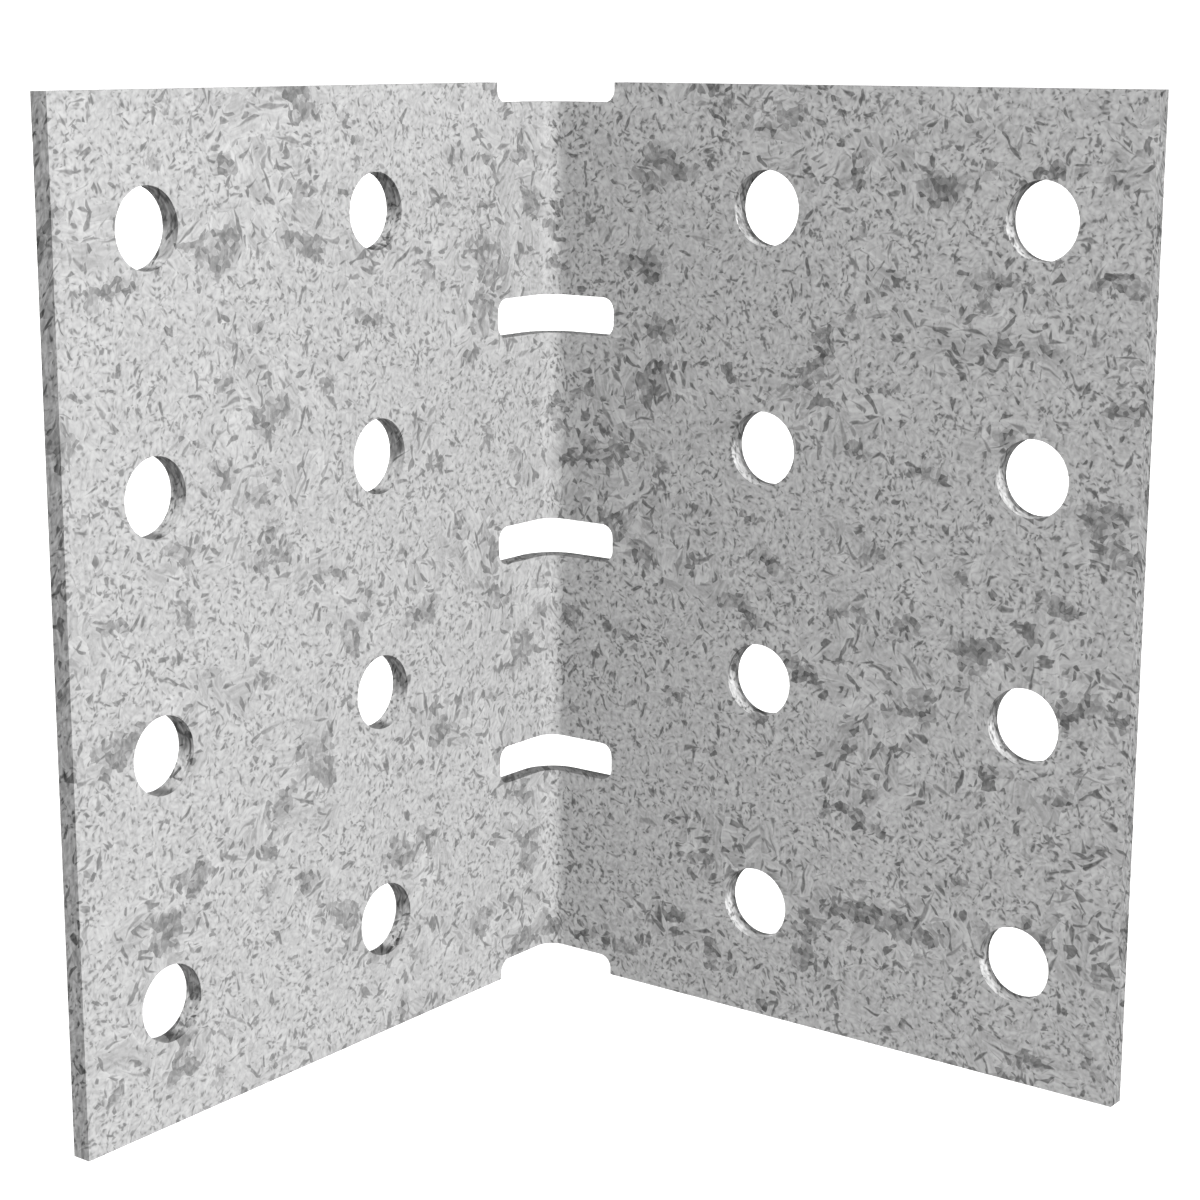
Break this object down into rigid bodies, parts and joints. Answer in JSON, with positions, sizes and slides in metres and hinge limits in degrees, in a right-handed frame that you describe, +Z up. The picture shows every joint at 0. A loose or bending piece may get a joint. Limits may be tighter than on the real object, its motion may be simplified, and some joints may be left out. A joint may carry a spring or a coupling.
{
  "type": "angle bracket",
  "caption": "Angle bracket punched and folded from galvanised sheet: equal legs at a right angle, rows of round fixing holes in both, and slots across the fold.",
  "frame": {"origin": "centre of the outline seen from above, on the surface that the bracket stands on", "axes": "+Z up along the fold; the back leg runs along X and its outer face looks to +Y; the side leg runs along Y and its outer face looks to -X"},
  "size_m": [0.0746, 0.0746, 0.1016],
  "materials": {
    "galvanised_steel": "hot-dip galvanised, fine spangle with darker crystal flecks, satin"
  },
  "bodies": {
    "root": {"angle_bracket": "galvanised_steel"}
  },
  "joints": []
}
